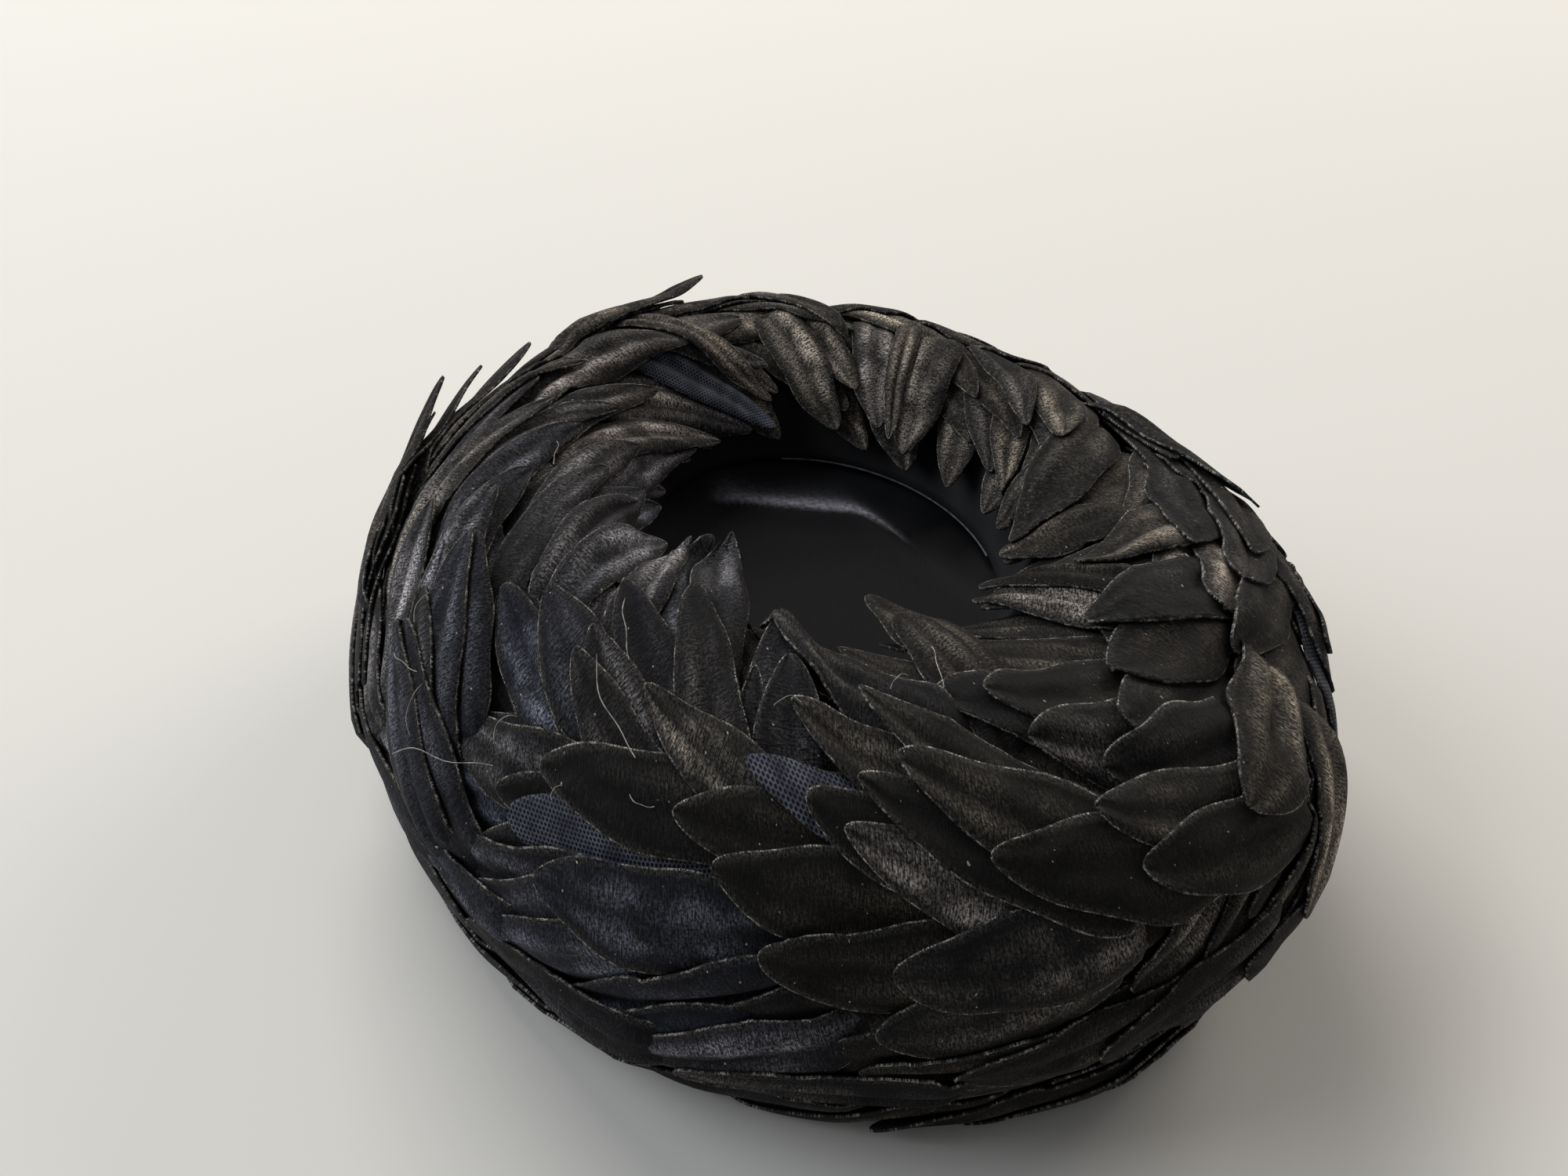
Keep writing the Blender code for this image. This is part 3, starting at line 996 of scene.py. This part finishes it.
# Under what height petals are eased up, and how high above the floor they stay.
FLOOR_EASE = 3.5 * MM
FLOOR_GAP = 0.4 * MM


def keep_off_floor(points):
    """Heights under FLOOR_EASE are drawn up along an exponential that falls towards FLOOR_GAP."""
    level = points[..., 2]
    over_gap = FLOOR_EASE - FLOOR_GAP
    eased = FLOOR_GAP + over_gap * np.exp((np.minimum(level, FLOOR_EASE) - FLOOR_EASE) / over_gap)
    points[..., 2] = np.where(level < FLOOR_EASE, eased, level)
    return points


def build_row(node, leaves, laid):
    """One piece from a row's draped petals."""
    count = len(leaves)
    points = keep_off_floor(np.stack([over_crown(*place) for place in laid]))
    faces = np.concatenate([grid_faces(ALONG, ACROSS, i * ALONG * ACROSS) for i in range(count)])
    slots = np.repeat([1 if leaf.net_up else 0 for leaf in leaves], (ALONG - 1) * (ACROSS - 1))
    values = [leaf_values(leaf, number) for number, leaf in enumerate(leaves)]
    uv, edge, side, tone, painted_highlight, mottle_and_painted_light = (np.stack(part) for part in zip(*values))
    piece = make_piece(
        node + "_velvet", points, faces.tolist(), LEAF_SLOTS, slots, uv,
        {"from_edge": edge, "side": side, "tone": tone, "painted_highlight": painted_highlight, "mottle_and_painted_light": mottle_and_painted_light},
    )
    wall = thicken(piece, "cloth", CLOTH, 0)
    wall.material_offset = UNDERSIDE_STEP
    wall.material_offset_rim = RIM_STEP
    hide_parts(node)


def build_petals():
    """First an even layer over the whole crown, then the outer one: the petals placed one by one,
    and even ones wherever those leave room."""
    first, outer = [], []
    for row in ROWS:
        first += row_leaves(row, 0.0, 1.0, FIRST_SHAPE)
    seen = seen_leaves()
    for row in ROWS:
        outer += [leaf for leaf in row_leaves(row, OUTER_STEP, OUTER_SHARE) if is_clear(leaf, seen)]
    height_map = np.full((MAP_BEARINGS, MAP_ROWS), BARE_HEIGHT)
    by_node = {row.node: [] for row in ROWS}
    for leaf in sorted(first, key=ring_order) + sorted(seen + outer, key=ring_order):
        draped = drape_leaf(lay_leaf(leaf), height_map, leaf.layer < 2)
        by_node[node_for(leaf)].append((leaf, draped))
    pressed = pressed_share(height_map)
    for pairs in by_node.values():
        for _, (bearing, distance, height) in pairs:
            height *= read_map(pressed, bearing, distance)
            height += fullness(bearing, distance)
    height_map *= pressed
    for node, pairs in by_node.items():
        build_row(node, [pair[0] for pair in pairs], [pair[1] for pair in pairs])
    build_threads(height_map)


# Loose fibres: where one starts, its heading as a petal's, and its length and its bow in mm.
Fibre = namedtuple("Fibre", "bearing up_roll turn length bow")
LOOSE_FIBRES = [Fibre(*row) for row in (
    (185.0, 53.5, 165, 8.8, 0.1),
    (192.0, 55.0, -109, 7.2, 1.2),
    (191.5, 43.0, 153, 26.1, -1.3),
    (204.0, 57.2, 116, 5.0, -1.3),
    (214.5, 56.5, 109, 2.4, -0.5),
    (236.5, 77.5, 161, 4.6, -0.6),
    (222.5, 61.8, 180, 4.4, 0.5),
    (185.0, 58.8, 72, 4.7, -0.7),
    (167.5, 87.2, 5, 8.5, 0.3),
    (264.5, 91.0, -70, 8.0, 0.3),
    (253.5, 82.8, 150, 4.5, -0.5),
    (211.5, 73.8, -153, 16.8, 0.9),
    (209.0, 82.8, -142, 10.9, 0.3),
)]
FIBRE_RADIUS = 0.09 * MM
FIBRE_POINTS = 14
# How high a fibre humps over the petals, and the share of its length by which it wavers.
FIBRE_LIFT = 0.8 * MM
FIBRE_WAVER = 0.02


def cord(path, radius):
    """A fine cord along a path: square rings set across its heading, with a face at each end."""
    heading = np.gradient(path, axis=0)
    heading = heading / np.linalg.norm(heading, axis=1)[:, None]
    aside = np.cross(heading, (0.0, 0.0, 1.0))
    aside = aside / np.linalg.norm(aside, axis=1)[:, None]
    over = np.cross(aside, heading)
    ring = np.stack([aside, over, -aside, -over], axis=1) * radius
    last = 4 * (len(path) - 1)
    ends = np.array([[3, 2, 1, 0], [last, last + 1, last + 2, last + 3]])
    sides = grid_faces(len(path), 4, closed=True)[:, ::-1]
    return path[:, None, :] + ring, np.concatenate([sides, ends])


def build_threads(height_map):
    """Every loose fibre as a fine cord, humped between its two ends on the petals' tops."""
    points, faces = [], []
    x = np.linspace(0, 1, FIBRE_POINTS)
    for number, fibre in enumerate(LOOSE_FIBRES):
        turn = math.radians(fibre.turn)
        waver = FIBRE_WAVER * fibre.length * np.sin(9 * x + number)
        aside = (4 * fibre.bow * x * (1 - x) + waver) * MM
        forward = fibre.length * MM * x * math.cos(turn) - aside * math.sin(turn)
        inward = fibre.length * MM * x * math.sin(turn) + aside * math.cos(turn)
        distance = fibre.up_roll * MM + inward
        bearing = bearing_after(fibre.bearing, forward, distance)
        below = np.max(height_map[map_cells(bearing, distance)])
        height = below + FIBRE_LIFT * np.sin(math.pi * x)
        ring, quads = cord(over_crown(bearing, distance, height), FIBRE_RADIUS)
        faces.append(quads + 4 * FIBRE_POINTS * number)
        points.append(ring)
    faces = np.concatenate(faces).tolist()
    make_piece("loose_fibres", np.stack(points), faces, (THREAD,))


# The stretch of the lip that carries a painted highlight, as bearings.
LIP_LINE_FROM = math.radians(-8)
LIP_LINE_TO = math.radians(82)
LIP_LINE_POINTS = 60
LIP_LINE_RADIUS = 0.28 * MM
# How far the line lies inside the lip's edge and above it.
LIP_LINE_IN = 0.3 * MM
LIP_LINE_UP = 0.1 * MM


def build_lip_highlight():
    """A painted highlight on the inner lip's edge: a fine pale cord along its right and back part."""
    bearing = np.linspace(LIP_LINE_FROM, LIP_LINE_TO, LIP_LINE_POINTS)
    radius = ROLL_RADIUS + ROLL_HALF_WIDTH * math.cos(LIP_ANGLE) - LIP_LINE_IN
    level = ROLL_HEIGHT + ROLL_HALF_HEIGHT * math.sin(LIP_ANGLE) + LIP_LINE_UP
    x, y = radius * np.cos(bearing), radius * np.sin(bearing)
    ring, quads = cord(shape_hat(np.stack([x, y, level + 0 * bearing], axis=-1)), LIP_LINE_RADIUS)
    make_piece("lip_painted_highlight", ring, quads.tolist(), (LIP_HIGHLIGHT,))


# Crown and tip.

CROWN_AROUND = 180
CROWN_ALONG = 64
# The hem hangs straight down from the rim to the floor through these levels.
HEM_LEVELS = [2 * MM, 1 * MM, 0]


def build_crown():
    """The roll, with a wall: an ellipse's arc from the inner lip to the rim and a straight hem,
    turned round the hat."""
    around = np.linspace(0, TURN, CROWN_AROUND, endpoint=False)
    angles = np.linspace(LIP_ANGLE, RIM_ANGLE, CROWN_ALONG)
    radius = ROLL_RADIUS + ROLL_HALF_WIDTH * np.cos(angles)
    level = ROLL_HEIGHT + ROLL_HALF_HEIGHT * np.sin(angles)
    radius = np.append(radius, [radius[-1]] * len(HEM_LEVELS))
    level = np.append(level, HEM_LEVELS)
    x, y = radius[:, None] * np.cos(around), radius[:, None] * np.sin(around)
    ring = np.stack([x, y, level[:, None] + 0 * around], axis=-1)
    faces = grid_faces(len(radius), CROWN_AROUND, closed=True)[:, ::-1].tolist()
    piece = make_piece(
        "crown_velvet_cover", shape_hat(ring), faces, (CROWN_VELVET,)
    )
    thicken(piece, "wall", CROWN_WALL, -1)
    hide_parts("crown_shell")


TIP_AROUND = 144
TIP_RINGS = 55
TIP_WALL = 1.8 * MM
TIP_DEPTH = 4 * MM
FOLD_HEIGHT = 2.8 * MM
FOLD_WIDTH = 5 * MM
RIPPLE_HEIGHT = 0.30 * MM
RIPPLE_LENGTH = 6 * MM


def tip_fold(x, y):
    """How far a point lies behind the tip's soft fold, and the share of the fold's strength there.
    The fold runs a little aslant across the back of the dish and bends forward at its right end."""
    line = 25.5 * MM - 0.33 * x - 90.0 * np.clip(x - 15 * MM, 0, None) ** 2
    off = (y - line) * 0.94
    fade = np.clip((np.abs(x - 5 * MM) - 13 * MM) / (9 * MM), 0, 1)
    return off, 1 - fade * fade * (3 - 2 * fade)


def tip_height(x, y):
    """A dish that falls with the square of the way in, a bell along the soft fold, and a faint sine
    ripple beside it."""
    share = np.clip(np.hypot(x, y) / TIP_RADIUS, 0, 1)
    dish = TIP_DEPTH * (1 - share**2)
    off, strength = tip_fold(x, y)
    fold = FOLD_HEIGHT * np.exp(-((off / FOLD_WIDTH) ** 2))
    fold = fold * (1 - share**2) * (0.05 + 0.95 * strength)
    ripple = RIPPLE_HEIGHT * np.sin(off / RIPPLE_LENGTH + 0.8) * (1 - share)
    return TIP_EDGE_HEIGHT - dish + fold + ripple


def tip_painted_highlight(x, y):
    """Painted highlight along the fold: a sharp rise on its near side and a soft exponential fall
    behind it, longer at the left."""
    off, strength = tip_fold(x, y)
    below = np.clip((off + 2.0 * MM) / (1.5 * MM), 0, 1)
    reach = 2.6 * MM + 2.2 * MM * np.clip((2 * MM - x) / (18 * MM), 0, 1)
    above = np.exp(-np.clip(off + 0.5 * MM, 0, None) / reach)
    return below * above * strength


def build_tip():
    """Rings of points on the dish round a middle point, with a wall below."""
    around = np.linspace(0, TURN, TIP_AROUND, endpoint=False)
    rings = np.linspace(1, 0, TIP_RINGS + 1)[:-1]
    x = TIP_RADIUS * rings[:, None] * np.cos(around)
    y = TIP_RADIUS * rings[:, None] * np.sin(around)
    points = np.stack([x, y, tip_height(x, y)], axis=-1).reshape(-1, 3)
    points = np.append(points, [[0, 0, float(tip_height(0.0, 0.0))]], axis=0)
    faces = grid_faces(TIP_RINGS, TIP_AROUND, closed=True).tolist()
    inner = (TIP_RINGS - 1) * TIP_AROUND
    for i in range(TIP_AROUND):
        faces.append([inner + i, inner + (i + 1) % TIP_AROUND, len(points) - 1])
    piece = make_piece(
        "tip_velvet_dish", shape_hat(points), faces, (TIP_VELVET,),
        values={"painted_fold_highlight": tip_painted_highlight(points[:, 0], points[:, 1])},
    )
    thicken(piece, "wall", TIP_WALL, -1)
    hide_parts("crown_tip")


# Floor, light and camera. Sizes are in metres.

CAMERA_AZIMUTH = math.radians(-24)
CAMERA_ELEVATION = math.radians(36)
CAMERA_ROLL = math.radians(7.3)
CAMERA_DISTANCE = 0.357
# The camera aims at this height on the axis, moved by this much to its right and up.
CAMERA_AIM_HEIGHT = 0.035
CAMERA_AIM = (-0.0125, 0.0123)
CAMERA_ANGLE = math.radians(50)
CAMERA_NEAREST = 0.01

FLOOR_HALF = 6.0
FLOOR_COLOUR = (0.735, 0.712, 0.662, 1)
SKY_COLOUR = (0.93, 0.95, 1.0, 1)
SKY_STRENGTH = 0.20
LIGHT_AIM = (0, 0, 0.04)
Light = namedtuple("Light", "name place size power colour")
LIGHTS = (
    Light("window left", (-2.35, 0.70, 1.60), (1.8, 1.8), 50, (0.87, 0.93, 1.0)),
    Light("lamp right", (2.30, 1.20, 1.35), (1.4, 1.4), 32, (1.0, 0.93, 0.84)),
    Light("window behind", (-0.40, 2.20, 2.05), (2.2, 1.4), 66, (1.0, 0.98, 0.95)),
)


def camera_axes():
    """The camera's right, up and back before its roll, from its azimuth and elevation."""
    cos_up = math.cos(CAMERA_ELEVATION)
    cos, sin = math.cos(CAMERA_AZIMUTH), math.sin(CAMERA_AZIMUTH)
    back = Vector((sin * cos_up, -cos * cos_up, math.sin(CAMERA_ELEVATION)))
    right = Vector((cos, sin, 0))
    return right, back.cross(right), back


def make_camera():
    """The camera at the photograph's angle, rolled about its own axis."""
    right, up, back = camera_axes()
    aim = Vector((0, 0, CAMERA_AIM_HEIGHT)) + right * CAMERA_AIM[0] + up * CAMERA_AIM[1]
    data = bpy.data.cameras.new("camera")
    data.angle = CAMERA_ANGLE
    data.clip_start = CAMERA_NEAREST
    camera = add_object("camera", data)
    cos, sin = math.cos(CAMERA_ROLL), math.sin(CAMERA_ROLL)
    level, tall = right * cos + up * sin, up * cos - right * sin
    turn = Matrix((level, tall, back)).transposed().to_4x4()
    camera.matrix_world = Matrix.Translation(aim + back * CAMERA_DISTANCE) @ turn
    bpy.context.scene.camera = camera


def make_floor():
    """A plain pale floor."""
    side = FLOOR_HALF
    corners = [(-side, -side, 0), (side, -side, 0), (side, side, 0), (-side, side, 0)]
    mesh = bpy.data.meshes.new("floor")
    mesh.from_pydata(corners, [], [(0, 1, 2, 3)])
    n = Nodes("pale floor")
    n.finish(Base_Color=FLOOR_COLOUR, Roughness=0.9, Specular_IOR_Level=0.1)
    mesh.materials.append(n.material)
    add_object("floor", mesh)


def light_studio():
    """A dim even sky, and every area light turned to the hat."""
    world = bpy.data.worlds.new("studio")
    world.use_nodes = True
    sky = world.node_tree.nodes["Background"].inputs
    sky["Color"].default_value = SKY_COLOUR
    sky["Strength"].default_value = SKY_STRENGTH
    bpy.context.scene.world = world
    for light in LIGHTS:
        data = bpy.data.lights.new(light.name, "AREA")
        data.shape = "RECTANGLE"
        data.size, data.size_y = light.size
        data.energy = light.power
        data.color = light.colour
        lamp = add_object(light.name, data)
        lamp.location = light.place
        lamp.rotation_mode = "QUATERNION"
        lamp.rotation_quaternion = (Vector(light.place) - Vector(LIGHT_AIM)).to_track_quat("Z", "Y")
    bpy.context.scene.view_settings.view_transform = "Standard"


build_crown()
build_lip_highlight()
build_tip()
build_petals()
make_camera()
make_floor()
light_studio()
